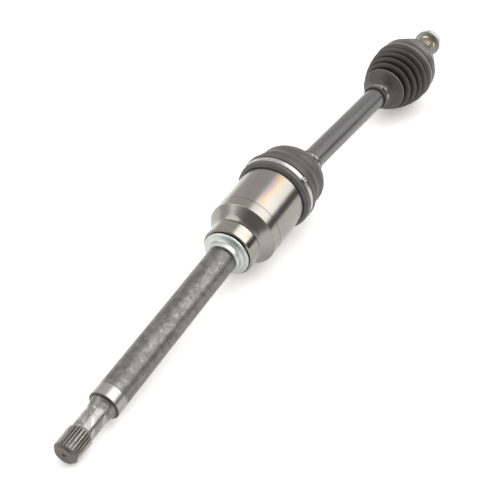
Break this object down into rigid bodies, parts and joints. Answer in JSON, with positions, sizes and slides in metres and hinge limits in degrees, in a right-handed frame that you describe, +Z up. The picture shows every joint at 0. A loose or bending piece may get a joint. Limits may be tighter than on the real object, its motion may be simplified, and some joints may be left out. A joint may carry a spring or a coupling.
{
  "type": "cv axle",
  "caption": "Car driveshaft with a support bearing on its splined inner shaft, a booted plunging joint, a black bar, a booted outer joint and a splined stub with its nut.",
  "frame": {"origin": "middle of the support bearing, on the inner shaft's axis", "axes": "+X along the bar towards the wheel stub, +Y to the left when looking along +X, +Z up from the bench that the axle lies on"},
  "size_m": [0.8857, 0.0936, 0.0957],
  "materials": {
    "forged_shaft": "forged, mottled",
    "machined_steel": "turned and ground",
    "bearing_steel": "ground and polished",
    "seal_rubber": "moulded",
    "cage_metal": "pressed",
    "zinc_plate": "zinc plated, satin",
    "boot_rubber": "moulded, satin",
    "clamp_steel": "rolled strip",
    "clamp_dark": "dark strip",
    "bar_paint": "black paint, satin",
    "hardened_steel": "hardened and ground",
    "stub_steel": "rolled spline, golden brown film"
  },
  "bodies": {
    "support": {"bearing_outer_ring": "bearing_steel", "bearing_seals": "seal_rubber"},
    "bearing_balls": {"bearing_ball_set": "bearing_steel", "bearing_cage": "cage_metal"},
    "inner": {"inner_shaft": "forged_shaft", "bearing_inner_ring": "bearing_steel", "dust_shield": "zinc_plate", "inner_boot": "boot_rubber", "inner_boot_clamp_large": "clamp_steel"},
    "tripod_carriage": {"roller_1": "bearing_steel"},
    "bar": {"bar_shaft": "bar_paint", "tripod_spider": "hardened_steel", "needle_rollers": "bearing_steel", "roller_retainers": "hardened_steel", "spider_circlip": "hardened_steel", "inner_boot_clamp_small": "clamp_steel", "outer_boot_clamp_small": "clamp_steel", "ball_joint_race": "hardened_steel", "race_circlip": "hardened_steel", "outer_boot": "boot_rubber"},
    "tripod_roller_2": {"roller_2": "bearing_steel"},
    "tripod_roller_3": {"roller_3": "bearing_steel"},
    "ball_cage": {"ball_joint_cage": "hardened_steel", "joint_balls": "bearing_steel"},
    "outer": {"ball_joint_bell": "stub_steel", "outer_boot_clamp_large": "clamp_dark"},
    "washer": {"nut_washer": "zinc_plate"},
    "nut": {"axle_nut": "zinc_plate"}
  },
  "joints": [
    {"name": "axle_spin", "type": "hinge", "parent": "support", "child": "inner", "pos_m": [0, 0, 0], "axis": [0.9957, 0.047, 0.0802], "continuous": true},
    {"name": "bearing_ball_orbit", "type": "hinge", "parent": "support", "child": "bearing_balls", "pos_m": [0, 0, 0], "axis": [0.9957, 0.047, 0.0802], "continuous": true},
    {"name": "plunge", "type": "slide", "parent": "inner", "child": "tripod_carriage", "axis": [0.9957, 0.047, 0.0802], "range_m": [-0.012, 0.012], "deforming": ["inner_boot"]},
    {"name": "inner_bend", "type": "hinge", "parent": "tripod_carriage", "child": "bar", "pos_m": [0.07069, 0.00333, 0.00569], "axis": [-0.0004, 0, 1], "range_deg": [-18, 18], "deforming": ["inner_boot"]},
    {"name": "roller_2_roll", "type": "hinge", "parent": "bar", "child": "tripod_roller_2", "pos_m": [0.0707, -0.01745, -0.00631], "axis": [0.0002, -0.866, -0.5], "range_deg": [-50, 50]},
    {"name": "roller_3_roll", "type": "hinge", "parent": "bar", "child": "tripod_roller_3", "pos_m": [0.0707, 0.02412, -0.00631], "axis": [0.0002, 0.866, -0.5], "range_deg": [-50, 50]},
    {"name": "ball_cage_bend", "type": "hinge", "parent": "bar", "child": "ball_cage", "pos_m": [0.47469, 0.00333, 0.00586], "axis": [-0.0004, 0, 1], "range_deg": [-19.5, 19.5]},
    {"name": "outer_bend", "type": "hinge", "parent": "bar", "child": "outer", "pos_m": [0.47469, 0.00333, 0.00586], "axis": [-0.0004, 0, 1], "range_deg": [-38, 38], "deforming": ["outer_boot"]},
    {"name": "nut_travel", "type": "slide", "parent": "outer", "child": "washer", "axis": [0.9986, 0.0192, 0.0489], "range_m": [-0.003, 0.003]},
    {"name": "nut_turn", "type": "hinge", "parent": "washer", "child": "nut", "pos_m": [0.54659, 0.00471, 0.00937], "axis": [0.9986, 0.0192, 0.0489], "range_deg": [-724, 724]}
  ],
  "couplings": [
    {"joint": "bearing_ball_orbit", "follows": "axle_spin", "ratio": 0.4181},
    {"joint": "roller_2_roll", "follows": "plunge", "rad_per_m": 68.97},
    {"joint": "roller_3_roll", "follows": "plunge", "rad_per_m": 68.97},
    {"joint": "ball_cage_bend", "follows": "outer_bend", "ratio": 0.5},
    {"joint": "nut_turn", "follows": "nut_travel", "rad_per_m": 4188.8}
  ]
}
